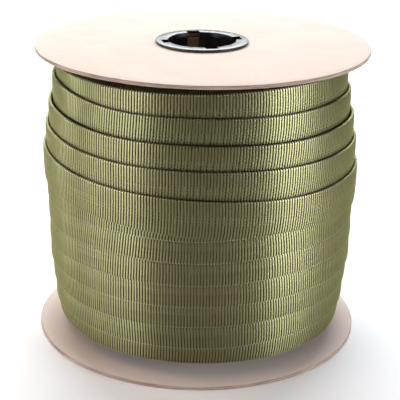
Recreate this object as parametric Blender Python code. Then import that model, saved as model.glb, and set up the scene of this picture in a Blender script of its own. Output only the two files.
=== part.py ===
"""Roll of tubular webbing on a fibreboard spool.

About ninety metres of inch-wide nylon tubular webbing, wound flat in overlapping turns on a
spool of two board flanges, a paper core tube and a moulded bushing at each end.

Metres. +Z runs up the spool's axis, -Y is the front and +X the right. The spool stands on
its lower flange, with the origin on the axis at the surface that it stands on.
"""

import math
from collections import namedtuple

import bmesh
import bpy
from mathutils import Vector

MM = 0.001

# Spool: flanges of pressed fibreboard on a paper tube.
FLANGE_RADIUS = 108.0 * MM
FLANGE_THICKNESS = 2.6 * MM
FLANGE_HOLE_RADIUS = 26.5 * MM
FLANGE_EDGE_BREAK = 0.25 * MM
SPOOL_HEIGHT = 194.2 * MM
FLANGE_OFFSET = 0.6 * MM
DISH_RISE = 1.8 * MM
REST_RING_WIDTH = 8.0 * MM
CORE_INNER_RADIUS = 25.4 * MM
CORE_WALL = 3.0 * MM
TOUCH_GAP = 0.3 * MM

# Bushing: a flat rim on the flange and a skirt inside the tube, with four slots.
RIM_RADIUS = 30.0 * MM
RIM_THICKNESS = 1.5 * MM
RIM_EDGE_ROUND = 0.5 * MM
BORE_RADIUS = 21.9 * MM
SKIRT_WALL = 2.6 * MM
SKIRT_DEPTH = 17.0 * MM
SLOT_COUNT = 4
SLOT_WIDTH = 8.4 * MM
SLOT_REACH = 26.3 * MM
SLOT_DEPTH = 14.0 * MM
FIRST_SLOT_ANGLE = 15.0
CUTTER_OVERSHOOT = 2.0 * MM

# Webbing, and the pack that it is wound into.
WEBBING_EDGE_ROUND = 0.8 * MM
WEBBING_EDGE_DEPTH = 1.3 * MM
EDGE_TUCK = 0.2 * MM
TURN_PITCH = 15.9 * MM
TURN_BELLY = 0.35 * MM
PACK_LEAN = 0.4 * MM
RECESS_RADIUS = 77.0 * MM
END_FACE_SLOPE = 0.6 * MM
LEAST_SHOWING = 1.8 * MM
BELLY_FROM = 6.0 * MM

# Segments round the axis, and the angle from which an edge is shaded sharp.
PACK_SEGMENTS = 64
DISC_SEGMENTS = 72
TUBE_SEGMENTS = 64
BUSHING_SEGMENTS = 48
SHARP_ANGLE = 30.0

# The pack is described between its back (90 degrees) and its back again (450 degrees), with
# the front at 270. The last turn is cut off just short of the back.
BACK = 90.0
FULL_TURN = 360.0
CUT_END_GAP = 0.5

# Angles of the named columns of the tables below: left, front left, front, front right, right.
STATIONS = (200.0, 235.0, 270.0, 305.0, 340.0)

# One row for each edge of webbing that shows: its height at the five stations, and the pack's
# radius just above it and just below it, all in millimetres.
Edge = namedtuple("Edge", "name left front_left front front_right right above below")

TOP_RIM = Edge("top_rim", 185.2, 185.1, 185.8, 187.1, 186.6, 93.2, 94.4)
BOTTOM_RIM = Edge("bottom_rim", 13.0, 11.6, 11.7, 11.2, 10.8, 95.6, 94.2)

# The last layer runs down: each turn lies over the lower part of the turn above it, so it is
# the turn's upper edge that stands proud. Each row goes on, round the back, in the next one.
LAST_LAYER = (
    Edge("upper_0", 185.2, 185.1, 185.8, 187.1, 185.6, 93.2, 94.4),
    Edge("upper_1", 177.7, 171.9, 171.1, 170.6, 173.9, 94.6, 97.0),
    Edge("upper_2", 161.2, 155.5, 155.8, 154.7, 157.2, 96.9, 99.9),
    Edge("upper_3", 148.2, 142.2, 140.7, 139.3, 140.2, 99.8, 102.2),
    Edge("upper_4", 129.6, 125.6, 123.4, 121.0, 120.6, 101.8, 104.1),
)

# Lower edge of the last turn, which lies over its neighbours on both sides.
LAST_TURN_FOOT = Edge("foot", 106.9, 103.4, 99.1, 98.0, 94.6, 103.4, 102.1)

# The layer below it was laid upwards: each turn lies over the upper part of the turn below
# it, so it is the turn's lower edge that stands proud. Rows are in the order of laying.
LAYER_BELOW = (
    Edge("lower_0", 13.0, 11.6, 11.7, 11.2, 11.6, 95.6, 94.2),
    Edge("lower_1", 21.6, 22.4, 22.8, 24.5, 24.6, 98.3, 97.2),
    Edge("lower_2", 34.0, 36.1, 38.1, 39.5, 38.3, 99.5, 98.4),
    Edge("lower_3", 48.4, 50.1, 52.6, 54.1, 52.6, 101.5, 100.3),
    Edge("lower_4", 62.1, 65.8, 66.9, 69.4, 68.4, 101.9, 101.3),
    Edge("lower_5", 78.8, 81.5, 81.9, 83.9, 83.7, 102.0, 101.5),
    Edge("lower_6", 93.7, 96.2, 95.9, 98.5, 98.8, 102.1, 101.6),
)


def clear_scene():
    """Remove every object, so that the model starts from nothing."""
    for item in list(bpy.data.objects):
        bpy.data.objects.remove(item, do_unlink=True)


def make_material(name, color, roughness, metallic=0.0):
    """A Principled material with one colour."""
    material = bpy.data.materials.new(name)
    material.use_nodes = True
    shader = material.node_tree.nodes["Principled BSDF"]
    shader.inputs["Base Color"].default_value = (*color, 1.0)
    shader.inputs["Roughness"].default_value = roughness
    shader.inputs["Metallic"].default_value = metallic
    material.diffuse_color = (*color, 1.0)
    return material


def webbing_material():
    return make_material("olive_webbing", (0.25, 0.25, 0.12), 0.62)


def board_material():
    return make_material("flange_board", (0.60, 0.49, 0.43), 0.88)


def core_material():
    return make_material("core_paper", (0.45, 0.36, 0.26), 0.92)


def bushing_material():
    return make_material("bushing_plastic", (0.014, 0.014, 0.017), 0.38)


def finish(name, mesh_builder, material, sharp_angle=SHARP_ANGLE):
    """Close a bmesh into a named object with outward faces, smooth but for its sharp edges."""
    bmesh.ops.recalc_face_normals(mesh_builder, faces=mesh_builder.faces)
    mesh = bpy.data.meshes.new(name)
    mesh_builder.to_mesh(mesh)
    mesh_builder.free()
    mesh.materials.append(material)
    mesh.shade_smooth()
    mesh.set_sharp_from_angle(angle=math.radians(sharp_angle))
    item = bpy.data.objects.new(name, mesh)
    bpy.context.scene.collection.objects.link(item)
    return item


def turned(name, outline, segments, material):
    """Spin a closed outline of (radius, height) points once round the Z axis."""
    builder = bmesh.new()
    rings = []
    for step in range(segments):
        angle = 2.0 * math.pi * step / segments
        ring = [
            builder.verts.new((radius * math.cos(angle), radius * math.sin(angle), height))
            for radius, height in outline
        ]
        rings.append(ring)
    count = len(outline)
    for step in range(segments):
        here = rings[step]
        there = rings[(step + 1) % segments]
        for row in range(count):
            after = (row + 1) % count
            builder.faces.new((here[row], there[row], there[after], here[after]))
    return finish(name, builder, material)


def dish_height(radius):
    """Height of the lower flange's underside: a flat outer ring, rising towards the hub."""
    flat_from = FLANGE_RADIUS - REST_RING_WIDTH
    if radius >= flat_from:
        return 0.0
    inward = (flat_from - radius) / (flat_from - RIM_RADIUS)
    return DISH_RISE * min(inward, 1.0)


def board_outline(stations, underside):
    """Outline of a board disc with broken edges, whose underside height follows the radius."""
    inner = stations[0]
    outer = stations[-1]
    broken = FLANGE_EDGE_BREAK
    outline = [(inner, underside(inner) + broken)]
    outline.append((inner + broken, underside(inner + broken)))
    outline += [(radius, underside(radius)) for radius in stations[1:-1]]
    outline.append((outer - broken, underside(outer)))
    outline.append((outer, underside(outer) + broken))
    top = FLANGE_THICKNESS
    outline.append((outer, underside(outer) + top - broken))
    outline.append((outer - broken, underside(outer) + top))
    outline += [(radius, underside(radius) + top) for radius in reversed(stations[1:-1])]
    outline.append((inner + broken, underside(inner + broken) + top))
    outline.append((inner, underside(inner) + top - broken))
    return outline


def build_flanges(material):
    """Two board discs. The lower one is slightly dished and stands on its flat outer ring."""
    flat_from = FLANGE_RADIUS - REST_RING_WIDTH
    stations = (FLANGE_HOLE_RADIUS, RIM_RADIUS, flat_from, FLANGE_RADIUS)
    lower = turned(
        "flange_bottom", board_outline(stations, dish_height), DISC_SEGMENTS, material
    )
    lower.location.x = -FLANGE_OFFSET

    def level(_radius):
        return SPOOL_HEIGHT - FLANGE_THICKNESS

    stations = (FLANGE_HOLE_RADIUS, FLANGE_RADIUS)
    upper = turned("flange_top", board_outline(stations, level), DISC_SEGMENTS, material)
    upper.location.x = FLANGE_OFFSET


def core_ends():
    """Lowest and highest height of the space between the two flanges at the core."""
    low = dish_height(CORE_INNER_RADIUS) + FLANGE_THICKNESS + TOUCH_GAP
    high = SPOOL_HEIGHT - FLANGE_THICKNESS - TOUCH_GAP
    return low, high


def build_core(material):
    """The paper tube that the webbing is wound on, butted between the flanges."""
    low, high = core_ends()
    outer = CORE_INNER_RADIUS + CORE_WALL
    outline = [(CORE_INNER_RADIUS, low), (outer, low), (outer, high), (CORE_INNER_RADIUS, high)]
    turned("core_tube", outline, TUBE_SEGMENTS, material)


def slot_cutter(index, low, high):
    """A block that cuts one slot through the rim's inner edge and the skirt."""
    angle = math.radians(FIRST_SLOT_ANGLE + FULL_TURN / SLOT_COUNT * index)
    start = BORE_RADIUS - CUTTER_OVERSHOOT
    length = SLOT_REACH - start
    middle = start + length / 2.0
    bpy.ops.mesh.primitive_cube_add(
        size=1.0,
        location=(middle * math.cos(angle), middle * math.sin(angle), (low + high) / 2.0),
        rotation=(0.0, 0.0, angle),
    )
    cutter = bpy.context.object
    cutter.name = f"slot_cutter_{index}"
    cutter.scale = (length, SLOT_WIDTH, high - low)
    cutter.hide_render = True
    cutter.display_type = "WIRE"
    return cutter


def build_bushing(name, seat, outward, material):
    """A moulded bushing: rim on the flange's outer face at `seat`, skirt inside the tube.

    `outward` is +1 for the upper end of the spool and -1 for the lower.
    """
    rim_low = seat + outward * TOUCH_GAP
    rim_high = rim_low + outward * RIM_THICKNESS
    skirt_end = seat - outward * SKIRT_DEPTH
    skirt_radius = BORE_RADIUS + SKIRT_WALL
    rounded = RIM_EDGE_ROUND
    corner = rounded * (1.0 - math.cos(math.pi / 4.0))
    outline = [
        (BORE_RADIUS, skirt_end),
        (skirt_radius, skirt_end),
        (skirt_radius, rim_low),
        (RIM_RADIUS, rim_low),
        (RIM_RADIUS, rim_high - outward * rounded),
        (RIM_RADIUS - corner, rim_high - outward * corner),
        (RIM_RADIUS - rounded, rim_high),
        (BORE_RADIUS + rounded, rim_high),
        (BORE_RADIUS, rim_high - outward * rounded),
    ]
    bushing = turned(name, outline, BUSHING_SEGMENTS, material)
    slot_end = seat - outward * SLOT_DEPTH
    past_rim = rim_high + outward * CUTTER_OVERSHOOT
    low = min(slot_end, past_rim)
    high = max(slot_end, past_rim)
    for index in range(SLOT_COUNT):
        cut = bushing.modifiers.new(f"slot_{index}", "BOOLEAN")
        cut.operation = "DIFFERENCE"
        cut.object = slot_cutter(index, low, high)
    return bushing


def smooth_course(course, angle):
    """Value at `angle` on a smooth curve through (angle, value) points.

    Cubic Hermite curve whose slope at each point is that of the line between its neighbours.
    """
    last = len(course) - 1
    index = max(i for i in range(last) if course[i][0] <= angle)
    slopes = []
    for point in (index, index + 1):
        before = course[max(point - 1, 0)]
        after = course[min(point + 1, last)]
        slopes.append((after[1] - before[1]) / (after[0] - before[0]))
    start, start_value = course[index]
    end, end_value = course[index + 1]
    span = end - start
    t = (angle - start) / span
    rise = 3.0 * t**2 - 2.0 * t**3
    value = start_value + (end_value - start_value) * rise
    value += slopes[0] * span * (t - 2.0 * t**2 + t**3)
    value += slopes[1] * span * (t**3 - t**2)
    return value


def moved_edge(edge, rise, growth):
    """The same edge a turn further on: `rise` higher and `growth` further out, in millimetres."""
    heights = [height + rise for height in heights_of(edge)]
    return Edge(edge.name, *heights, edge.above + growth, edge.below + growth)


def heights_of(edge):
    """An edge's heights at the five stations."""
    return (edge.left, edge.front_left, edge.front, edge.front_right, edge.right)


class Layer:
    """Edges of one layer, unrolled into courses of height and radius with a full turn a row.

    `before` and `after` are the edges of the turns before the first row and after the last.
    """

    def __init__(self, rows, before, after):
        self.rows = rows
        turns = (before, *rows, after)
        self.heights = self.unroll(turns, heights_of)
        self.above = self.unroll(turns, lambda edge: [edge.above] * len(STATIONS))
        self.below = self.unroll(turns, lambda edge: [edge.below] * len(STATIONS))

    @staticmethod
    def unroll(turns, values_of):
        """(angle, value) points in metres, a row's stations following those of the last."""
        return [
            (station + FULL_TURN * (turn - 1), value * MM)
            for turn, edge in enumerate(turns)
            for station, value in zip(STATIONS, values_of(edge))
        ]

    def at(self, turn, angle):
        """Height, radius above and radius below of one row's edge at an angle."""
        unrolled = angle + FULL_TURN * turn
        courses = (self.heights, self.above, self.below)
        return tuple(smooth_course(course, unrolled) for course in courses)


PITCH_IN_MM = TURN_PITCH / MM
LAST_TURN_GROWTH_IN_MM = 1.2
TOP_END = Layer([TOP_RIM], TOP_RIM, TOP_RIM)
BOTTOM_END = Layer([BOTTOM_RIM], BOTTOM_RIM, BOTTOM_RIM)
LAST = Layer(LAST_LAYER, TOP_RIM, moved_edge(LAST_LAYER[-1], -PITCH_IN_MM, 0.0))
BELOW = Layer(LAYER_BELOW, BOTTOM_RIM, moved_edge(LAYER_BELOW[-1], PITCH_IN_MM, 0.0))
FOOT = Layer(
    [LAST_TURN_FOOT],
    moved_edge(LAST_TURN_FOOT, PITCH_IN_MM, -LAST_TURN_GROWTH_IN_MM),
    moved_edge(LAST_TURN_FOOT, -PITCH_IN_MM, 0.0),
)


def proud_below(name, height, foot, crest):
    """Three points of a turn's upper edge, which stands proud of the turn above it."""
    return [
        ((name, "foot"), foot, height + EDGE_TUCK),
        ((name, "shoulder"), crest - WEBBING_EDGE_ROUND, height),
        ((name, "crest"), crest, height - WEBBING_EDGE_DEPTH),
    ]


def proud_above(name, height, crest, foot):
    """Three points of a turn's lower edge, which stands proud of the turn below it."""
    return [
        ((name, "crest"), crest, height + WEBBING_EDGE_DEPTH),
        ((name, "shoulder"), max(foot, crest - WEBBING_EDGE_ROUND), height),
        ((name, "foot"), foot, height - EDGE_TUCK),
    ]


def edges_showing(angle):
    """Points of every webbing edge that shows at this angle, from the top down."""
    top = TOP_END.at(0, angle)[0]
    bottom = BOTTOM_END.at(0, angle)[0]
    last_foot = FOOT.at(0, angle)
    groups = []
    for turn, edge in enumerate(LAST.rows):
        height, above, below = LAST.at(turn, angle)
        if height < top - LEAST_SHOWING:
            groups.append(proud_below(edge.name, height, above, below))
    groups.append(proud_above(LAST_TURN_FOOT.name, *last_foot))
    for turn, edge in reversed(list(enumerate(BELOW.rows))):
        height, above, below = BELOW.at(turn, angle)
        if bottom + LEAST_SHOWING < height < last_foot[0] - LEAST_SHOWING:
            groups.append(proud_above(edge.name, height, above, below))
    return groups


def pack_section(angle):
    """Outline of the pack at one angle: (key, radius, height) from its top to its bottom.

    The outer layers stop short of both flanges, and the inner ones reach them.
    """
    top, _, top_radius = TOP_END.at(0, angle)
    bottom, bottom_radius, _ = BOTTOM_END.at(0, angle)
    groups = edges_showing(angle)
    top_radius = min(top_radius, groups[0][0][1])
    bottom_radius = min(bottom_radius, groups[-1][-1][1])
    low, high = core_ends()
    inner = CORE_INNER_RADIUS + CORE_WALL + TOUCH_GAP
    recess_low = dish_height(RECESS_RADIUS) + FLANGE_THICKNESS + TOUCH_GAP
    section = [
        ("inner_top", inner, high),
        ("recess_top", RECESS_RADIUS, high),
        ("recess_top_foot", RECESS_RADIUS, top - END_FACE_SLOPE),
        ("rim_top_face", top_radius - WEBBING_EDGE_DEPTH, top),
        ("rim_top_side", top_radius, top - WEBBING_EDGE_DEPTH),
    ]
    for index, group in enumerate(groups):
        if index > 0:
            above = section[-1]
            below = group[0]
            if above[2] - below[2] > BELLY_FROM:
                radius = (above[1] + below[1]) / 2.0 + TURN_BELLY
                section.append(((below[0][0], "belly"), radius, (above[2] + below[2]) / 2.0))
        section += group
    section += [
        ("rim_bottom_side", bottom_radius, bottom + WEBBING_EDGE_DEPTH),
        ("rim_bottom_face", bottom_radius - WEBBING_EDGE_DEPTH, bottom),
        ("recess_bottom_foot", RECESS_RADIUS, bottom + END_FACE_SLOPE),
        ("recess_bottom", RECESS_RADIUS, recess_low),
        ("inner_bottom", inner, low),
    ]
    return section


def next_turn_name(key):
    """The key that an edge has once it has gone round the back into the next turn."""
    if not isinstance(key, tuple):
        return key
    name, part = key
    layer, _, turn = name.partition("_")
    if layer in ("upper", "lower"):
        return (f"{layer}_{int(turn) + 1}", part)
    return ("cut_" + name, part)


def stitch(builder, left, right):
    """Join two neighbouring sections, each a list of (key, vertex) from top to bottom.

    Points with the same key are joined by four-sided faces. A point that only one section
    has is joined by a triangle, the higher of two such points first.
    """
    left_keys = {key for key, _ in left}
    right_keys = {key for key, _ in right}
    i = 0
    j = 0
    while i + 1 < len(left) or j + 1 < len(right):
        next_left = left[i + 1] if i + 1 < len(left) else None
        next_right = right[j + 1] if j + 1 < len(right) else None
        if next_left and next_right and next_left[0] == next_right[0]:
            builder.faces.new((left[i][1], next_left[1], next_right[1], right[j][1]))
            i += 1
            j += 1
            continue
        step_left = next_left is not None and next_left[0] not in right_keys
        if step_left and next_right and next_right[0] not in left_keys:
            step_left = next_left[1].co.z >= next_right[1].co.z
        if step_left:
            builder.faces.new((left[i][1], next_left[1], right[j][1]))
            i += 1
        else:
            builder.faces.new((left[i][1], next_right[1], right[j][1]))
            j += 1
    builder.faces.new((left[-1][1], left[0][1], right[0][1], right[-1][1]))


def build_winding(material):
    """The wound webbing as one body, with the edges of its turns running round as helices."""
    angles = [BACK + FULL_TURN * step / PACK_SEGMENTS for step in range(PACK_SEGMENTS)]
    angles.append(BACK + FULL_TURN - CUT_END_GAP)
    builder = bmesh.new()
    columns = []
    for angle in angles:
        turned_by = math.radians(angle)
        direction = Vector((math.cos(turned_by), math.sin(turned_by), 0.0))
        column = []
        for key, radius, height in pack_section(angle):
            outer_share = max(0.0, radius - RECESS_RADIUS) / (FLANGE_RADIUS - RECESS_RADIUS)
            radius += PACK_LEAN * direction.x * outer_share
            place = direction * radius + Vector((0.0, 0.0, height))
            column.append((key, builder.verts.new(place)))
        columns.append(column)
    for left, right in zip(columns, columns[1:]):
        stitch(builder, left, right)
    renamed = [(next_turn_name(key), vertex) for key, vertex in columns[-1]]
    stitch(builder, renamed, columns[0])
    bmesh.ops.triangulate(builder, faces=builder.faces)
    finish("webbing_winding", builder, material)


def main():
    clear_scene()
    board = board_material()
    bushing = bushing_material()
    build_winding(webbing_material())
    build_flanges(board)
    build_core(core_material())
    build_bushing("bushing_top", SPOOL_HEIGHT, 1.0, bushing)
    build_bushing("bushing_bottom", DISH_RISE, -1.0, bushing)


main()
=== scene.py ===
"""Roll of tubular webbing on a fibreboard spool, dressed for a studio picture.

Metres. +Z runs up the spool's axis, -Y is the front and +X the right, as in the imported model.
"""

import math

import bpy
import numpy as np
from mathutils import Matrix


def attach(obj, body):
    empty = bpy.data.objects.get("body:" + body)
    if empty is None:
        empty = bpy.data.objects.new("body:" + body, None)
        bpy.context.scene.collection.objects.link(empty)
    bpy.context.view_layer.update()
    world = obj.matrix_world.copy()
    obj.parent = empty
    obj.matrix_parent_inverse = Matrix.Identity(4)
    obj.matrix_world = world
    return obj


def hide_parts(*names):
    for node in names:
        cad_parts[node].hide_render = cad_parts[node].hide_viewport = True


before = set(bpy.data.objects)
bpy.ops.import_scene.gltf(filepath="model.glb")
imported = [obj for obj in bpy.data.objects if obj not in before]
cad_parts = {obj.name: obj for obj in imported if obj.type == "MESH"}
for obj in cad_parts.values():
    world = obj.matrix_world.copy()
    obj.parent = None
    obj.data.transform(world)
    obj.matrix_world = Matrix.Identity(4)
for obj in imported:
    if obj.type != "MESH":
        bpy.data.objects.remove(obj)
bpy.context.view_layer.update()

# Flanges: two discs punched from pressed grey-pink fibreboard, about 2.3 mm thick, with
# broken edges. They are glued to the ends of the paper tube, and the lower one is a little
# dished by the pull of the webbing.

MM = 0.001
FULL_TURN = 360.0
FLANGE_RADIUS = 108.0 * MM
FLANGE_THICKNESS = 2.3 * MM
FLANGE_HOLE_RADIUS = 26.5 * MM
FLANGE_EDGE_BREAK = 0.35 * MM
SPOOL_HEIGHT = 194.2 * MM
FLANGE_OFFSET = 0.6 * MM
DISH_RISE = 1.8 * MM
REST_RING_WIDTH = 8.0 * MM
BUSHING_RIM_RADIUS = 30.0 * MM
FLANGE_COLUMNS = 288
SHARP_ANGLE = 39.5
BOARD_FACE = (0.87, 0.775, 0.715)
BOARD_FLECK = (0.62, 0.49, 0.42)
# The faces towards the webbing are painted darker than the outer faces, as shade.
BOARD_INNER_PAINTED_SHADE = (0.66, 0.56, 0.51)
# The cut edge colours are darker fibre, made darker still as painted shade.
BOARD_EDGE_DARK_AND_SHADE = (0.20, 0.14, 0.105)
BOARD_EDGE_PLY_DARK_AND_SHADE = (0.35, 0.26, 0.20)
TOP_WARP = 0.25 * MM
NICK_ANGLE = 243.0
NICK_DEPTH = 0.55 * MM
NICK_HALF_ANGLE = 1.3


class Value:
    """A number, colour or vector that varies over a surface.

    Arithmetic on a number adds Math nodes to the material that it belongs to.
    """

    def __init__(self, finish, socket):
        self.finish = finish
        self.socket = socket

    def math(self, operation, *inputs):
        return self.finish.node("ShaderNodeMath", {"operation": operation}, *inputs)

    def __add__(self, other):
        return self.math("ADD", self, other)

    def __sub__(self, other):
        return self.math("SUBTRACT", self, other)

    def __rsub__(self, other):
        return self.math("SUBTRACT", other, self)

    def __mul__(self, other):
        return self.math("MULTIPLY", self, other)

    def __mod__(self, other):
        return self.math("FLOORED_MODULO", self, other)

    def __abs__(self):
        return self.math("ABSOLUTE", self)

    __radd__ = __add__
    __rmul__ = __mul__

    def sine(self):
        return self.math("SINE", self)

    def ramp(self, low, high, smooth=True):
        """0 at `low` and below, 1 at `high` and above, with soft ends."""
        kind = "SMOOTHSTEP" if smooth else "LINEAR"
        settings = {"interpolation_type": kind}
        return self.finish.node("ShaderNodeMapRange", settings, self, low, high, 0.0, 1.0)


class Finish:
    """A Principled material under construction."""

    def __init__(self, name, **fixed):
        self.material = bpy.data.materials.new(name)
        self.material.use_nodes = True
        self.tree = self.material.node_tree
        self.shader = self.tree.nodes["Principled BSDF"]
        for socket, value in fixed.items():
            self.shader.inputs[socket.replace("_", " ")].default_value = value

    def connect(self, source, target):
        if isinstance(source, Value):
            self.tree.links.new(source.socket, target)
        elif isinstance(source, tuple) and target.type == "RGBA":
            target.default_value = (*source[:3], 1.0)
        else:
            target.default_value = source

    def node(self, kind, settings=None, *inputs, output=0, **named):
        """Add a node: its settings first, then its sockets in order or by name."""
        made = self.tree.nodes.new(kind)
        for setting, value in (settings or {}).items():
            setattr(made, setting, value)
        for target, source in zip(made.inputs, inputs):
            self.connect(source, target)
        for socket, source in named.items():
            self.connect(source, made.inputs[socket.replace("_", " ")])
        return Value(self, made.outputs[output])

    def attribute(self, name):
        """A number stored at the piece's points."""
        settings = {"attribute_name": name, "attribute_type": "GEOMETRY"}
        return self.node("ShaderNodeAttribute", settings, output="Fac")

    def place(self):
        """Object coordinates, in metres."""
        return self.node("ShaderNodeTexCoord", output="Object")

    def combined(self, x, y, z):
        return self.node("ShaderNodeCombineXYZ", None, x, y, z)

    def noise(self, vector, scale, detail=2.0, roughness=0.5):
        return self.node(
            "ShaderNodeTexNoise", None, output="Fac",
            Vector=vector, Scale=scale, Detail=detail, Roughness=roughness,
        )

    def mix(self, share, first, second, blend="MIX"):
        """Colour `first` turning into `second` as `share` goes from 0 to 1."""
        made = self.tree.nodes.new("ShaderNodeMix")
        made.data_type = "RGBA"
        made.blend_type = blend
        for target, source in ((0, share), (6, first), (7, second)):
            self.connect(source, made.inputs[target])
        return Value(self, made.outputs[2])

    def surface(self, colour=None, roughness=None, height=None, depth=0.0, strength=1.0):
        """Connect what varies: colour, roughness, and a height of up to `depth` metres."""
        if colour is not None:
            self.connect(colour, self.shader.inputs["Base Color"])
        if roughness is not None:
            self.connect(roughness, self.shader.inputs["Roughness"])
        if height is not None:
            bump = self.node(
                "ShaderNodeBump", None, Strength=strength, Distance=depth, Height=height
            )
            self.connect(bump, self.shader.inputs["Normal"])
        return self.material


def even_normals(points):
    """Normals of an open grid's points that follow the larger of the faces round each.

    The cross product of a face's diagonals is its normal times twice its area; multiplied
    by its own length it weighs each face by its area squared.
    """
    across = np.roll(points, -1, axis=1)
    facing = np.cross(across[1:] - points[:-1], across[:-1] - points[1:])
    facing = facing * np.linalg.norm(facing, axis=-1, keepdims=True)
    facing = np.concatenate([facing[:1], facing, facing[-1:]])
    total = facing[:-1] + facing[1:]
    total = total + np.roll(total, 1, axis=1)
    return total / np.linalg.norm(total, axis=-1, keepdims=True)


def woven_grid(name, points, closed_run, material, body="root", even=False, **numbers):
    """A mesh over points[column, row], whose rows close into a loop.

    Columns follow each other along the run, which is closed on itself too if `closed_run`,
    and is otherwise closed by a flat cap at both ends. Faces are shaded by even_normals if
    `even`, and a cap by the normal of three of its points. Every number in `numbers` is an
    array with a value for each point, kept under its name.
    """
    columns, rows = points.shape[:2]
    last = columns if closed_run else columns - 1
    column = np.arange(last)[:, None]
    row = np.arange(rows)[None, :]
    next_column = (column + 1) % columns
    next_row = (row + 1) % rows
    corners = (
        column * rows + row,
        next_column * rows + row,
        next_column * rows + next_row,
        column * rows + next_row,
    )
    loops = np.stack([np.broadcast_to(c, (last, rows)) for c in corners], -1).ravel()
    starts = np.arange(0, loops.size, 4)
    if not closed_run:
        first_cap = np.arange(rows)
        end_cap = (columns - 1) * rows + first_cap[::-1]
        starts = np.concatenate([starts, [loops.size, loops.size + rows]])
        loops = np.concatenate([loops, first_cap, end_cap])
    mesh = bpy.data.meshes.new(name)
    mesh.vertices.add(columns * rows)
    mesh.vertices.foreach_set("co", points.astype(np.float32).ravel())
    mesh.loops.add(loops.size)
    mesh.loops.foreach_set("vertex_index", loops.astype(np.int32))
    mesh.polygons.add(starts.size)
    mesh.polygons.foreach_set("loop_start", starts.astype(np.int32))
    mesh.update(calc_edges=True)
    for key, values in numbers.items():
        layer = mesh.attributes.new(key, "FLOAT", "POINT")
        full = np.broadcast_to(values, (columns, rows)).astype(np.float32)
        layer.data.foreach_set("value", full.ravel())
    mesh.shade_smooth()
    if even:
        normals = even_normals(points).reshape(-1, 3)[loops]
        first, end = points[0], points[-1]
        normals[-2 * rows:-rows] = np.cross(first[0] - first[2], first[0] - first[4])
        normals[-rows:] = np.cross(end[0] - end[4], end[0] - end[2])
        mesh.normals_split_custom_set(normals.tolist())
    else:
        mesh.set_sharp_from_angle(angle=math.radians(SHARP_ANGLE))
    mesh.materials.append(material)
    piece = bpy.data.objects.new(name, mesh)
    bpy.context.scene.collection.objects.link(piece)
    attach(piece, body)
    return piece


def board_finish():
    """Pressed fibreboard: pale lined outer face, a face towards the webbing painted darker as
    shade, and a cut edge of darker fibre deepened with painted shade.
    """
    finish = Finish("flange_board", Roughness=0.86)
    place = finish.place()
    cut = finish.attribute("cut_edge")
    inner = finish.attribute("inner_face")
    fibres = finish.noise(place, 520.0, 4.0, 0.65)
    clouds = finish.noise(place, 38.0, 3.0, 0.55)
    flecks = finish.noise(place, 900.0, 1.0).ramp(0.66, 0.74)
    mottling = clouds.ramp(0.3, 0.7) * 0.16 + fibres.ramp(0.35, 0.7) * 0.16
    outer_face = finish.mix(mottling, BOARD_FACE, BOARD_FLECK)
    outer_face = finish.mix(flecks * 0.3, outer_face, BOARD_FLECK)
    # The face towards the webbing gets the darker colour: painted shade.
    inner_painted_shade = finish.mix(fibres.ramp(0.3, 0.7) * 0.3, BOARD_INNER_PAINTED_SHADE, BOARD_FLECK)
    face = finish.mix(inner, outer_face, inner_painted_shade)
    plies = finish.noise(
        finish.node("ShaderNodeMapping", None, Vector=place, Scale=(60.0, 60.0, 2600.0)),
        1.0, 2.0,
    )
    # Cut edge: darker plies of fibre, deepened with painted shade.
    edge = finish.mix(plies.ramp(0.35, 0.65), BOARD_EDGE_DARK_AND_SHADE, BOARD_EDGE_PLY_DARK_AND_SHADE)
    colour = finish.mix(cut, face, edge)
    return finish.surface(colour, height=fibres + plies * cut, depth=0.00012, strength=0.5)


def dish_height(radius):
    """Height of the lower flange's underside: a flat outer ring, rising towards the hub."""
    flat_from = FLANGE_RADIUS - REST_RING_WIDTH
    inward = (flat_from - radius) / (flat_from - BUSHING_RIM_RADIUS)
    return DISH_RISE * np.clip(inward, 0.0, 1.0)


def flat_underside(radius):
    """Height of the upper flange's underside."""
    return np.full_like(radius, SPOOL_HEIGHT - FLANGE_THICKNESS)


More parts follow.
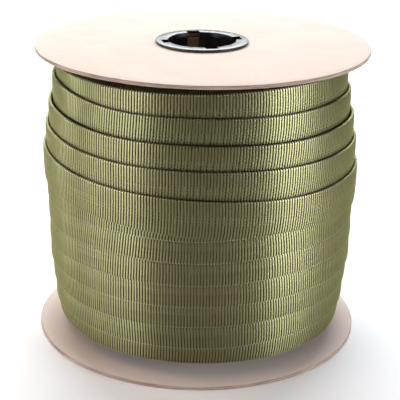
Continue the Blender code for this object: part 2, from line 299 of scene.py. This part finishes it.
def board_disc(name, node, offset, underside, inner_above, warp=0.0, nick_angle=None):
    """A board disc: a closed outline of (radius, height) carried round the axis.

    Height is the outline's plus the underside's, plus `warp` times the sine of twice the
    angle and the cube of the radius over the disc's. The face towards the webbing is the
    upper one if `inner_above`. A nick in the edge is a Gaussian dip of the outer radius.
    """
    edge = FLANGE_EDGE_BREAK
    inner = FLANGE_HOLE_RADIUS
    outer = FLANGE_RADIUS
    steps = np.linspace(0.0, math.pi / 2.0, 4)
    face = np.linspace(inner + edge, outer - edge, 12)
    top = FLANGE_THICKNESS
    radius = np.concatenate([
        face,
        outer - edge + edge * np.sin(steps),
        outer - edge + edge * np.cos(steps),
        face[::-1],
        inner + edge - edge * np.sin(steps),
        inner + edge - edge * np.cos(steps),
    ])
    height = np.concatenate([
        np.zeros(face.size),
        edge - edge * np.cos(steps),
        top - edge + edge * np.sin(steps),
        np.full(face.size, top),
        top - edge + edge * np.cos(steps),
        edge - edge * np.sin(steps),
    ])
    keep = np.ones(radius.size, bool)
    keep[1:] = np.hypot(np.diff(radius), np.diff(height)) > 1e-7
    radius = radius[keep]
    height = height[keep]
    to_webbing = (height > 0.7 * top if inner_above else height < 0.3 * top).astype(float)
    cut = ((radius > outer - 0.6 * edge) | (radius < inner + 0.6 * edge)).astype(float)
    angle = np.radians(np.arange(FLANGE_COLUMNS) * FULL_TURN / FLANGE_COLUMNS)[:, None]
    warped = warp * np.sin(2.0 * angle + 0.7) * (radius / FLANGE_RADIUS) ** 3
    height = height + underside(radius) + warped
    radius = np.broadcast_to(radius, height.shape)
    if nick_angle is not None:
        away = np.degrees(np.abs(angle - math.radians(nick_angle)))
        bite = NICK_DEPTH * np.exp(-((away / NICK_HALF_ANGLE) ** 2))
        radius = radius - bite * (radius > outer - 2.0 * edge)
    points = np.stack(
        [offset + radius * np.cos(angle), radius * np.sin(angle), height], -1
    )
    piece = woven_grid(name, points, True, board, cut_edge=cut, inner_face=to_webbing)
    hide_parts(node)
    return piece


board = board_finish()
board_disc("board_flange_bottom", "flange_bottom", -FLANGE_OFFSET, dish_height, True)
board_disc(
    "board_flange_top", "flange_top", FLANGE_OFFSET, flat_underside, False,
    warp=TOP_WARP, nick_angle=NICK_ANGLE,
)

# Core: a tube rolled from brown kraft paper, glued between the flanges. It shows only
# through the slots of the bushing and down the bore.

CORE_BROWN = (0.55, 0.44, 0.31)
CORE_SEAM = (0.30, 0.22, 0.15)


def core_finish():
    """Kraft paper wound in a spiral: soft streaks and a dark butt seam every 40 mm."""
    finish = Finish("core_paper", Roughness=0.9)
    place = finish.place()
    parts = finish.tree.nodes.new("ShaderNodeSeparateXYZ")
    finish.connect(place, parts.inputs[0])
    x, y, z = (Value(finish, parts.outputs[index]) for index in range(3))
    around = finish.node("ShaderNodeMath", {"operation": "ARCTAN2"}, y, x)
    spiral = (z * 25.0 + around * (1.0 / (2.0 * math.pi))) % 1.0
    seam = 1.0 - abs(spiral - 0.5).ramp(0.0, 0.03)
    streaks = finish.noise(place, 160.0, 4.0, 0.6)
    colour = finish.mix(streaks.ramp(0.3, 0.7) * 0.6 + seam * 0.4, CORE_BROWN, CORE_SEAM)
    return finish.surface(colour, height=streaks - seam, depth=0.0001, strength=0.4)


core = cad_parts["core_tube"]
core.data.materials.clear()
core.data.materials.append(core_finish())

# Bushings: one moulded black plastic bushing pushed into each end of the tube. Its flat rim
# lies on the board, and four slots through the skirt let it spring as it goes in.

BUSHING_BLACK = (0.016, 0.016, 0.019)
RIM_THICKNESS = 1.5 * MM
RIM_EDGE_ROUND = 0.5 * MM
TOUCH_GAP = 0.3 * MM
BORE_RADIUS = 21.9 * MM
SKIRT_WALL = 2.6 * MM
SKIRT_DEPTH = 17.0 * MM
SLOT_COUNT = 4
SLOT_WIDTH = 8.4 * MM
SLOT_REACH = 26.3 * MM
SLOT_DEPTH = 14.0 * MM
FIRST_SLOT_ANGLE = 15.0
CUTTER_OVERSHOOT = 2.0 * MM
RIM_FOOT_BREAK = 0.2 * MM
BUSHING_COLUMNS = 160
BUSHING_SHARP_ANGLE = 35.0
BUSHING_SCUFF = (0.05, 0.05, 0.055)


def bushing_finish():
    """Moulded plastic with a fine spark-eroded grain and a soft gloss."""
    finish = Finish("bushing_plastic", Roughness=0.3, Specular_IOR_Level=0.42)
    place = finish.place()
    grain = finish.noise(place, 1800.0, 2.0)
    scuffs = finish.noise(place, 220.0, 5.0, 0.7)
    colour = finish.mix(scuffs.ramp(0.5, 0.8) * 0.5, BUSHING_BLACK, BUSHING_SCUFF)
    roughness = 0.26 + scuffs.ramp(0.4, 0.75) * 0.16
    return finish.surface(colour, roughness, grain + scuffs * 0.6, 0.00005, 0.35)


def slot_cutter(index, low, high):
    """A block through the rim's inner edge and the skirt, at one of the four slots."""
    angle = math.radians(FIRST_SLOT_ANGLE + FULL_TURN / SLOT_COUNT * index)
    start = BORE_RADIUS - CUTTER_OVERSHOOT
    along = np.array([start, SLOT_REACH])
    across = np.array([-SLOT_WIDTH / 2.0, SLOT_WIDTH / 2.0])
    x, y, z = np.meshgrid(along, across, np.array([low, high]), indexing="ij")
    points = np.stack([
        x * math.cos(angle) - y * math.sin(angle),
        x * math.sin(angle) + y * math.cos(angle),
        z,
    ], -1).reshape(-1, 3)
    faces = [(0, 1, 3, 2), (4, 6, 7, 5), (0, 4, 5, 1), (2, 3, 7, 6), (0, 2, 6, 4), (1, 5, 7, 3)]
    mesh = bpy.data.meshes.new("slot_cutter")
    mesh.from_pydata(points.tolist(), [], faces)
    cutter = bpy.data.objects.new("slot_cutter", mesh)
    bpy.context.scene.collection.objects.link(cutter)
    return cutter


def moulded_bushing(name, node, seat, outward, material):
    """A bushing: a closed (radius, height) outline carried round the axis, then slotted.

    The rim sits on the flange's outer face at `seat`; `outward` is +1 above and -1 below.
    """
    rim_low = TOUCH_GAP
    rim_high = rim_low + RIM_THICKNESS
    skirt_radius = BORE_RADIUS + SKIRT_WALL
    steps = np.linspace(0.0, math.pi / 2.0, 5)
    edge = RIM_EDGE_ROUND
    radius = np.concatenate([
        [BORE_RADIUS, skirt_radius - edge, skirt_radius, skirt_radius],
        [BUSHING_RIM_RADIUS - RIM_FOOT_BREAK, BUSHING_RIM_RADIUS],
        BUSHING_RIM_RADIUS - edge + edge * np.cos(steps),
        BORE_RADIUS + edge - edge * np.sin(steps),
    ])
    height = np.concatenate([
        [-SKIRT_DEPTH, -SKIRT_DEPTH, -SKIRT_DEPTH + edge, rim_low],
        [rim_low, rim_low + RIM_FOOT_BREAK],
        rim_high - edge + edge * np.sin(steps),
        rim_high - edge + edge * np.cos(steps),
    ])
    if outward < 0:
        radius = radius[::-1]
        height = -height[::-1]
    angle = np.radians(np.arange(BUSHING_COLUMNS) * FULL_TURN / BUSHING_COLUMNS)[:, None]
    ones = np.ones_like(angle)
    points = np.stack(
        [radius * np.cos(angle), radius * np.sin(angle), (seat + height) * ones], -1
    )
    piece = woven_grid(name, points, True, material)
    past_rim = rim_high + CUTTER_OVERSHOOT
    low, high = sorted((seat - outward * SLOT_DEPTH, seat + outward * past_rim))
    cutters = [slot_cutter(index, low, high) for index in range(SLOT_COUNT)]
    for index, cutter in enumerate(cutters):
        cut = piece.modifiers.new(f"slot_{index}", "BOOLEAN")
        cut.operation = "DIFFERENCE"
        cut.object = cutter
    solid = piece.evaluated_get(bpy.context.evaluated_depsgraph_get())
    piece.data = bpy.data.meshes.new_from_object(solid)
    piece.modifiers.clear()
    for cutter in cutters:
        bpy.data.objects.remove(cutter)
    piece.data.shade_smooth()
    piece.data.set_sharp_from_angle(angle=math.radians(BUSHING_SHARP_ANGLE))
    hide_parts(node)
    return piece


bushing_black = bushing_finish()
moulded_bushing("moulded_bushing_top", "bushing_top", SPOOL_HEIGHT, 1.0, bushing_black)
moulded_bushing("moulded_bushing_bottom", "bushing_bottom", DISH_RISE, -1.0, bushing_black)

# Webbing: about ninety metres of olive nylon, woven as a flat tube 24 mm wide, with a cross
# rib every 1.9 mm and a dimpled strip down its middle. The last layer runs down the pack,
# each turn over the lower part of the one above; the layer below it was laid upwards.

WEBBING_WIDTH = 24.0
WEBBING_THICKNESS = 2.2
RIB_PITCH = 1.88
RIB_PHASES = np.array([0.0, 0.13, 0.28, 0.72, 0.87])
RIB_HEIGHTS = np.array([0.0, 0.7, 1.0, 1.0, 0.7])
RIB_DEPTH = 0.5
RIB_SHIFT = 0.015
RIB_BOW = 0.5
EDGE_HALF_WIDTH = 1.0
EDGE_FURROW_SHARE = 0.6
FACE_CROWN = 0.3
TURN_PITCH = 15.9
LEAST_SPAN = 4.0
LEAST_TUCK = 3.0
CREASE_WIDTH = 0.8
CREASE_DEPTH = 0.2
DIMPLE_ROW_PITCH = 2.1
FIRST_DIMPLE_ROW = WEBBING_WIDTH / 2.0 - 1.5 * DIMPLE_ROW_PITCH
STRIP_HALF_WIDTH = 2.95
PACK_LEAN = 0.4
LOW_LEFT_HOLLOW = 1.3
HOLLOW_TOP = 105.0
HOLLOW_FADE = 30.0
RECESS_RADIUS = 77.0
BACK = 90.0
CUT_END_GAP = 0.5
STATIONS = (200.0, 235.0, 270.0, 305.0, 340.0)
OLIVE_DEEP = (0.208, 0.194, 0.092)
OLIVE_PALE = (0.282, 0.267, 0.140)
OLIVE_GREEN = (0.230, 0.243, 0.117)
OLIVE_DULL = (0.174, 0.160, 0.087)
# The fold colour is a painted highlight: the rounded proud edge of each turn is coloured pale in
# place of the light it catches.
FOLD_PAINTED_HIGHLIGHT = (0.480, 0.470, 0.320)
# The furrow colour is painted shade: the grooves between the ribs are coloured dark in place of
# the shade that falls in them.
FURROW_PAINTED_SHADE = (0.038, 0.030, 0.008)
# The dimple colour is painted shade: the holes of the dimples are coloured near black in place of
# the shade in them.
DIMPLE_PAINTED_SHADE = (0.008, 0.007, 0.004)

# Each row is an edge of the webbing: its height at the five stations from left to right, the
# pack's radius just above and just below it, in millimetres, and how far the ribs of that
# turn lean to the right at the left, the front and the right, in degrees.
TOP_RIM = ((184.6, 184.3, 184.8, 186.3, 185.8), 93.2, 94.4, (2.5, 2.5, 0.0))
BOTTOM_RIM = ((13.0, 11.6, 11.7, 11.2, 10.8), 95.6, 94.2, (3.5, 0.5, 0.0))
LAST_LAYER = (
    ((184.6, 184.3, 184.8, 186.3, 184.8), 93.2, 94.4, (2.5, 2.5, 0.0)),
    ((175.8, 171.6, 171.1, 170.3, 169.9), 94.6, 97.0, (6.5, 5.0, 4.5)),
    ((158.9, 155.9, 155.4, 154.0, 153.6), 96.9, 99.9, (3.5, 4.5, 6.0)),
    ((144.0, 141.2, 140.3, 138.9, 137.7), 99.8, 102.2, (2.5, 3.0, 3.5)),
    ((128.8, 125.5, 123.0, 120.2, 119.8), 101.8, 104.1, (3.0, 1.5, 3.0)),
)
FOOT = ((106.9, 103.4, 99.1, 98.0, 94.6), 103.4, 102.1, (3.0, 1.5, 3.0))
LAYER_BELOW = (
    ((13.0, 11.6, 11.7, 11.2, 11.6), 95.6, 94.2, (3.5, 0.5, 0.0)),
    ((22.8, 23.3, 23.0, 24.5, 24.6), 98.3, 97.2, (-5.5, -5.0, -3.0)),
    ((36.6, 37.2, 38.3, 39.5, 38.3), 99.5, 98.4, (0.0, -3.0, -6.5)),
    ((51.6, 52.0, 52.6, 54.1, 52.6), 101.5, 100.3, (-2.0, -3.0, -5.0)),
    ((64.5, 66.9, 66.8, 69.0, 68.4), 101.9, 101.3, (1.0, -2.5, -4.5)),
    ((79.2, 82.0, 81.6, 83.6, 83.4), 102.0, 101.5, (4.5, -0.5, -7.0)),
    ((94.6, 96.7, 95.9, 98.3, 98.4), 102.1, 101.6, (3.0, 0.0, -3.0)),
)


def moved_row(row, rise, growth=0.0):
    """The same edge a turn further on, `rise` higher and `growth` further out."""
    heights, above, below, leans = row
    return (tuple(h + rise for h in heights), above + growth, below + growth, leans)


class Courses:
    """Smooth courses of a layer's heights, radii and leans along its unrolled turns.

    Each is a cubic Hermite curve through the stations of all turns, end to end, with the
    slope at each station that of the line between its neighbours.
    """

    def __init__(self, before, rows, after):
        rows = (before, *rows, after)
        turns = FULL_TURN * (np.arange(len(rows)) - 1)
        self.angles = (turns[:, None] + np.array(STATIONS)).ravel()
        self.heights = np.array([row[0] for row in rows]).ravel()
        self.above = np.repeat([row[1] for row in rows], len(STATIONS))
        self.below = np.repeat([row[2] for row in rows], len(STATIONS))
        self.leans = np.array([np.interp(STATIONS, STATIONS[1:4], row[3]) for row in rows]).ravel()

    def course(self, values, angle):
        angle = np.clip(angle, self.angles[0], self.angles[-1])
        last = self.angles.size - 1
        here = np.clip(np.searchsorted(self.angles, angle, "right") - 1, 0, last - 1)
        before = np.maximum(np.arange(last + 1) - 1, 0)
        after = np.minimum(np.arange(last + 1) + 1, last)
        slopes = (values[after] - values[before]) / (self.angles[after] - self.angles[before])
        span = self.angles[here + 1] - self.angles[here]
        t = (angle - self.angles[here]) / span
        rise = 3.0 * t**2 - 2.0 * t**3
        value = values[here] + (values[here + 1] - values[here]) * rise
        value += slopes[here] * span * (t - 2.0 * t**2 + t**3)
        return value + slopes[here + 1] * span * (t**3 - t**2)

    def at(self, turn, angle):
        """Height, radius above, radius below and lean of one row's edge, at each angle."""
        unrolled = angle + FULL_TURN * turn
        kept = (self.heights, self.above, self.below, self.leans)
        return tuple(self.course(values, unrolled) for values in kept)


last_layer = Courses(TOP_RIM, LAST_LAYER, moved_row(LAST_LAYER[-1], -TURN_PITCH))
layer_below = Courses(BOTTOM_RIM, LAYER_BELOW, moved_row(LAYER_BELOW[-1], TURN_PITCH))
foot = Courses(moved_row(FOOT, TURN_PITCH, -1.2), (FOOT,), moved_row(FOOT, -TURN_PITCH))


def webbing_finish():
    """Olive nylon: glossy floats over the ribs, dull furrows painted dark as shade, a strip of
    dimples painted near black as shade.

    In the strip down the middle the furrows are half filled, but for a dimple at every second
    one in each of three rows. Dimples are shallower where `worn` is 1, on the layer below.
    """
    finish = Finish(
        "olive_webbing", Anisotropic=0.8, Anisotropic_Rotation=0.25, Specular_IOR_Level=0.3,
        Specular_Tint=(0.85, 0.85, 0.55, 1.0),
    )
    rib = finish.attribute("rib")
    across = finish.attribute("across")
    ridge = finish.attribute("ridge")
    crease = finish.attribute("crease")
    worn = finish.attribute("worn")
    streaks = finish.noise(finish.combined(rib * 0.035, across * 1.9, 0.0), 1.0, 3.0, 0.6)
    clouds = finish.noise(finish.combined(rib * 0.012, across * 0.05, 3.0), 1.0, 2.0)
    each_rib = finish.noise(finish.combined(rib * 0.9, across * 0.06, 7.0), 1.0, 1.0)
    from_middle = abs(across - WEBBING_WIDTH / 2.0)
    strip = from_middle.ramp(STRIP_HALF_WIDTH + 0.15, STRIP_HALF_WIDTH - 0.15)
    from_row = abs((across - FIRST_DIMPLE_ROW) % DIMPLE_ROW_PITCH - DIMPLE_ROW_PITCH / 2.0)
    from_furrow = abs(rib % 2.0 - 1.0)
    # Dimples are real hollows in the bump, and their near-black colour is painted shade.
    dimple_depth_and_shade = from_row.ramp(0.7, 0.3) * from_furrow.ramp(0.32, 0.14) * strip
    dimple_depth_and_shade = dimple_depth_and_shade * (1.0 - worn * 0.65)
    # Pale band along the proud edge: painted highlight on the fold.
    fold_highlight = across.ramp(1.2, 0.4)
    crest = ridge.ramp(0.72, 1.0)
    crest = crest + (1.0 - crest) * strip * 0.3
    # Next to the edge of the turn lying over it, crest and furrow are darkened: painted shade in
    # the crevice between turns.
    crest = crest * (1.0 - dimple_depth_and_shade) * (1.0 - crease * 0.15)
    olive = finish.mix(streaks.ramp(0.3, 0.7), OLIVE_DEEP, OLIVE_PALE)
    olive = finish.mix(clouds.ramp(0.35, 0.65) * 0.5, olive, OLIVE_GREEN)
    olive = finish.mix(each_rib.ramp(0.35, 0.65) * 0.15, olive, OLIVE_DULL)
    olive = finish.mix(fold_highlight * 0.8, olive, FOLD_PAINTED_HIGHLIGHT)
    # Furrows are painted dark as shade in the grooves; dimples and the crease under the next turn
    # are painted darker still, also as shade.
    furrow = finish.mix(dimple_depth_and_shade + crease * 0.3, FURROW_PAINTED_SHADE, DIMPLE_PAINTED_SHADE)
    colour = finish.mix(crest, furrow, olive)
    finish.connect(crest.ramp(0.0, 0.5), finish.shader.inputs["Metallic"])
    grains = (across * (2.0 * math.pi / 0.9)).sine() * ridge
    height = grains * 0.4 + streaks * 0.4 - dimple_depth_and_shade * 1.5
    roughness = 0.86 - crest.ramp(0.0, 0.7) * 0.46 + streaks * 0.08
    return finish.surface(colour, roughness, height, 0.0001, 0.5)


def section_rows(far_edge_shows):
    """The closed cross-section of the flat tube, from its proud edge across and back.

    A row lies at offset + reach * span + rest * (width - span) millimetres from the proud
    edge, where the span is what the next turn leaves bare. Returns those three numbers, the
    depth below the outer face in thicknesses, and the outward direction (across, outward).
    """
    near = np.radians([-88.0, -45.0, 0.0, 35.0, 66.0])
    fine_far = np.radians([66.0, 35.0, 0.0, -45.0, -88.0])
    far = fine_far if far_edge_shows else np.radians([50.0, -60.0])
    face_reach = np.array([0.09, 0.24, 0.42, 0.6, 0.78, 0.9])
    if not far_edge_shows:
        face_reach = np.append(face_reach, [0.95, 1.01])
    ones = np.ones(face_reach.size)
    round_near = EDGE_HALF_WIDTH * (1.0 - np.cos(near))
    round_far = -EDGE_HALF_WIDTH * (1.0 - np.cos(far))
    offset = np.concatenate([round_near, 0.0 * ones, round_far, [0.0, 0.0]])
    reach = np.concatenate([0.0 * near, face_reach, 1.0 + 0.0 * far, [0.8, 0.3]])
    rest = np.concatenate([0.0 * near, 0.0 * ones, 1.0 + 0.0 * far, [0.0, 0.0]])
    depth_near = 0.5 - 0.5 * np.sin(near)
    depth_far = 0.5 - 0.5 * np.sin(far)
    depth = np.concatenate([depth_near, 0.0 * ones, depth_far, [1.0, 1.0]])
    across = np.concatenate([-np.cos(near), 0.0 * ones, np.cos(far), [0.0, 0.0]])
    outward = np.concatenate([np.sin(near), ones, np.sin(far), [-1.0, -1.0]])
    return offset, reach, rest, depth, across, outward


def webbing_turn(name, layer, turn, upwards, material, end=BACK + FULL_TURN):
    """One turn of webbing: its cross-section carried round the axis along its own edge.

    The outer face goes from the crest's radius at the proud edge to the foot's radius at the
    next turn's edge, and dives under that turn. Ribs cut furrows of RIB_DEPTH into it along
    the section's outward direction, and lean by turning each point round the axis. The pack
    leans a little to the right, and is hollower low on its left.
    """
    crest_row = 1 if upwards else 2
    middle = layer.at(turn, np.array([BACK + FULL_TURN / 2.0]))[crest_row][0]
    ribs_in_turn = round(2.0 * math.pi * middle / RIB_PITCH)
    shifts = np.random.default_rng(turn + 20 * upwards).normal(0.0, RIB_SHIFT, ribs_in_turn)
    shifts[0] = 0.0
    ribs = np.append((np.arange(ribs_in_turn)[:, None] + RIB_PHASES).ravel(), ribs_in_turn)
    ridge = np.append(np.tile(RIB_HEIGHTS, ribs_in_turn), 0.0)[:, None]
    shifted = ribs + np.append(np.repeat(shifts, RIB_PHASES.size), 0.0)
    angle = np.minimum(BACK + shifted * FULL_TURN / ribs_in_turn, end)
    edge, above, below, lean = layer.at(turn, angle)
    crest, side = (above, 1.0) if upwards else (below, -1.0)
    free_edge = layer is last_layer and turn == len(LAST_LAYER) - 1
    if free_edge:
        next_edge, next_foot, _, _ = foot.at(0, angle)
    elif upwards:
        next_edge, _, next_foot, _ = layer.at(turn + 1, angle)
    else:
        next_edge, next_foot, _, _ = layer.at(turn + 1, angle)
    span = np.maximum(np.abs(next_edge - edge), LEAST_SPAN)[:, None]
    width = span if free_edge else np.maximum(WEBBING_WIDTH, span + LEAST_TUCK)
    offset, reach, rest, depth, across, outward = section_rows(free_edge)
    if upwards:
        offset, reach, rest, depth, across, outward = (
            row[::-1] for row in (offset, reach, rest, depth, across, outward)
        )
    going = offset + reach * span + rest * (width - span)
    bared = np.clip(going / span, 0.0, 1.0)
    outer = crest[:, None] + (next_foot - crest)[:, None] * bared
    outer = outer + FACE_CROWN * np.sin(math.pi * bared)
    # The crease mask dips the face here, and in the finish it paints shade into the crevice under
    # the next turn.
    crease = np.zeros_like(going)
    if not free_edge:
        crease = np.clip(1.0 + (going - span) / CREASE_WIDTH, 0.0, 1.0)
        outer = outer - CREASE_DEPTH * crease
    furrow = RIB_DEPTH * (1.0 - ridge)
    radius = outer - depth * WEBBING_THICKNESS - furrow * outward
    height = edge[:, None] + side * (going - furrow * across * EDGE_FURROW_SHARE)
    share = going / WEBBING_WIDTH
    sideways = np.tan(np.radians(lean))[:, None] * (going - WEBBING_WIDTH / 2.0) * side
    sideways = sideways + RIB_BOW * (1.0 - (2.0 * share - 1.0) ** 2)
    turned = np.radians(angle)[:, None] + sideways / radius
    outer_share = np.maximum(radius - RECESS_RADIUS, 0.0) / (FLANGE_RADIUS / MM - RECESS_RADIUS)
    radius = radius + PACK_LEAN * np.cos(turned) * outer_share
    to_left = np.clip(-np.cos(turned), 0.0, 1.0) ** 2
    low = np.clip((HOLLOW_TOP - height) / HOLLOW_FADE, 0.0, 1.0)
    radius = radius - LOW_LEFT_HOLLOW * to_left * low * outer_share
    points = np.stack([radius * np.cos(turned), radius * np.sin(turned), height], -1) * MM
    piece = woven_grid(
        name, points, False, material, even=True,
        rib=ribs[:, None] + 400.0 * turn, across=going, ridge=ridge, crease=crease,
        worn=1.0 if upwards else 0.0,
    )
    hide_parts("webbing_winding")
    return piece


olive_webbing = webbing_finish()
for turn in range(len(LAST_LAYER)):
    is_cut = turn == len(LAST_LAYER) - 1
    webbing_turn(
        f"webbing_last_layer_turn_{turn + 1}", last_layer, turn, False, olive_webbing,
        end=BACK + FULL_TURN - (CUT_END_GAP if is_cut else 0.0),
    )
for turn in range(len(LAYER_BELOW)):
    webbing_turn(f"webbing_layer_below_turn_{turn + 1}", layer_below, turn, True, olive_webbing)

# Inner layers: the same webbing under the turns that show. Its edges make the two end faces
# of the pack, which stop short of the flanges outside and reach them further in.

INNER_COLUMNS = 684
LAYER_STEP = 2.2
LAYERS_AT_END_FACE = 7
STEPS_PER_LAYER = 4
END_FACE_INSET = 2.6
END_FACE_RIB = 0.3
CORE_CLEAR_RADIUS = 28.7
WAIST_LOW = 45.0
WAIST_HIGH = 130.0
WAIST_SWELL = 3.0


def inner_layers(material):
    """A closed section of (radius, height) carried round the axis, with ribbed end faces.

    Each layer's edge at an end face is a half circle of height LAYER_STEP / 2.
    """
    angle = BACK + np.arange(INNER_COLUMNS) * FULL_TURN / INNER_COLUMNS
    top = last_layer.at(0, angle)[0][:, None]
    bottom = layer_below.at(0, angle)[0][:, None]
    low = dish_height(RECESS_RADIUS * MM) / MM + FLANGE_THICKNESS / MM + TOUCH_GAP / MM
    high = (SPOOL_HEIGHT - FLANGE_THICKNESS - TOUCH_GAP) / MM
    layers = LAYERS_AT_END_FACE
    steps = np.arange(STEPS_PER_LAYER) / STEPS_PER_LAYER
    share = (np.arange(layers)[:, None] + steps).ravel()
    bump = np.sqrt(np.maximum(0.0, 1.0 - (2.0 * np.tile(steps, layers) - 1.0) ** 2))
    face_radius = RECESS_RADIUS + share * LAYER_STEP
    ridge = (np.arange(INNER_COLUMNS) % 2)[:, None].astype(float)
    ones = np.ones((INNER_COLUMNS, 1))
    low_corner = bottom + END_FACE_INSET
    high_corner = top - END_FACE_INSET
    layer_edges = bump + END_FACE_RIB * ridge
    outer = (RECESS_RADIUS + layers * LAYER_STEP) * ones
    waist = outer + 1.0
    radius = np.concatenate([
        CORE_CLEAR_RADIUS * ones, RECESS_RADIUS * ones, face_radius * ones,
        outer, waist, waist + WAIST_SWELL, waist + WAIST_SWELL, waist, outer,
        face_radius[::-1] * ones, RECESS_RADIUS * ones, CORE_CLEAR_RADIUS * ones,
    ], 1)
    height = np.concatenate([
        low * ones, low * ones, low_corner - layer_edges,
        low_corner, low_corner + 0.6, WAIST_LOW * ones,
        WAIST_HIGH * ones, high_corner - 0.6, high_corner,
        (high_corner + layer_edges)[:, ::-1], high * ones, high * ones,
    ], 1)
    turned = np.radians(angle)[:, None]
    points = np.stack([radius * np.cos(turned), radius * np.sin(turned), height], -1) * MM
    piece = woven_grid(
        "webbing_inner_layers", points, True, material,
        rib=np.arange(INNER_COLUMNS)[:, None] / 2.0, across=height, ridge=ridge,
    )
    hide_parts("webbing_winding")


inner_layers(olive_webbing)

# Studio: a white floor, low strip boxes in an arc on each side, broad boxes behind, above
# and beside the roll, and the camera where the photograph was taken from.

CAMERA_PLACE = (0.0005, -0.76354, 0.36969)
CAMERA_PITCH_DEG = 20.417
CAMERA_ROLL_DEG = 0.994
CAMERA_LENS_MM = 108.25
SENSOR_MM = 36.0
FLOOR_REACH = 4.0
FLOOR_DROP = 0.2 * MM
FLOOR_WHITE = (0.93, 0.94, 0.965)
FLOOR_WHITE_CLOUD = (0.95, 0.96, 0.985)
LIGHT_AIM = (0.0, 0.0, 0.1)
STRIP_WHITE = (0.88, 0.93, 1.0)
STRIP_PLACE = (3.0, 0.9, 0.26, 0.25)
AIR_WHITE = (0.95, 0.97, 1.0)
AIR_STRENGTH = 0.02

# Azimuth from the front and watts of each strip box. A broad box has its name, azimuth and
# elevation in degrees, distance, width and height in metres, watts and colour.
STRIP_BOXES = ((-105, 2.4), (-75, 2.2), (-58, 1.3), (-46, 2.7), (58, 4.9), (75, 3.1))
BROAD_BOXES = (
    ("box_behind", 180.0, 35.0, 1.4, 1.6, 0.8, 30.0, (0.94, 0.98, 1.0)),
    ("box_above", 180.0, 80.0, 1.1, 1.0, 1.0, 3.0, (0.95, 0.97, 1.0)),
    ("box_right", 80.0, 50.0, 1.1, 0.8, 0.8, 1.2, (1.0, 0.7, 0.6)),
    ("box_left", -80.0, 50.0, 1.1, 0.8, 0.8, 4.0, (1.0, 0.72, 0.5)),
)


def floor_finish():
    """Matt white paper with very faint clouds."""
    finish = Finish("studio_floor", Roughness=0.6, Specular_IOR_Level=0.2)
    place = finish.place()
    clouds = finish.noise(place, 3.0, 2.0)
    return finish.surface(finish.mix(clouds, FLOOR_WHITE, FLOOR_WHITE_CLOUD))


def studio_floor(material):
    """A square just under the roll, so that no two faces lie in one plane."""
    mesh = bpy.data.meshes.new("studio_floor")
    reach = FLOOR_REACH
    corners = [(-reach, -reach), (reach, -reach), (reach, reach), (-reach, reach)]
    mesh.from_pydata([(x, y, -FLOOR_DROP) for x, y in corners], [], [(0, 1, 2, 3)])
    mesh.materials.append(material)
    floor = bpy.data.objects.new("studio_floor", mesh)
    bpy.context.scene.collection.objects.link(floor)


def soft_box(name, azimuth, elevation, distance, width, height, watts, colour):
    """A rectangular light aimed at the roll's middle, from an azimuth about the front."""
    a, e = math.radians(azimuth), math.radians(elevation)
    aim = np.array(LIGHT_AIM)
    away = np.array([math.sin(a) * math.cos(e), -math.cos(a) * math.cos(e), math.sin(e)])
    light = bpy.data.lights.new(name, "AREA")
    light.shape = "RECTANGLE"
    light.size, light.size_y = width, height
    light.energy = watts
    light.color = colour
    lamp = bpy.data.objects.new(name, light)
    lamp.location = aim + away * distance
    lamp.rotation_euler = (math.pi / 2.0 - e, 0.0, a)
    bpy.context.scene.collection.objects.link(lamp)


studio_floor(floor_finish())
for azimuth, watts in STRIP_BOXES:
    soft_box(f"strip_box_{azimuth}", azimuth, *STRIP_PLACE, watts, STRIP_WHITE)
for box in BROAD_BOXES:
    soft_box(*box)

world = bpy.data.worlds.new("studio_air")
world.use_nodes = True
air = world.node_tree.nodes["Background"]
air.inputs["Color"].default_value = (*AIR_WHITE, 1.0)
air.inputs["Strength"].default_value = AIR_STRENGTH
bpy.context.scene.world = world
bpy.context.scene.view_settings.view_transform = "Standard"

camera = bpy.data.objects.new("camera", bpy.data.cameras.new("camera"))
camera.data.lens = CAMERA_LENS_MM
camera.data.sensor_width = SENSOR_MM
camera.location = CAMERA_PLACE
pitch = math.radians(CAMERA_PITCH_DEG)
roll = math.radians(CAMERA_ROLL_DEG)
back = np.array([0.0, -math.cos(pitch), math.sin(pitch)])
up = np.array([0.0, math.sin(pitch), math.cos(pitch)])
right = np.array([1.0, 0.0, 0.0])
across_frame = right * math.cos(roll) + up * math.sin(roll)
up_frame = up * math.cos(roll) - right * math.sin(roll)
turned_to = np.stack([across_frame, up_frame, back], 1)
camera.matrix_world = Matrix.Translation(CAMERA_PLACE) @ Matrix(turned_to.tolist()).to_4x4()
bpy.context.scene.collection.objects.link(camera)
bpy.context.scene.camera = camera
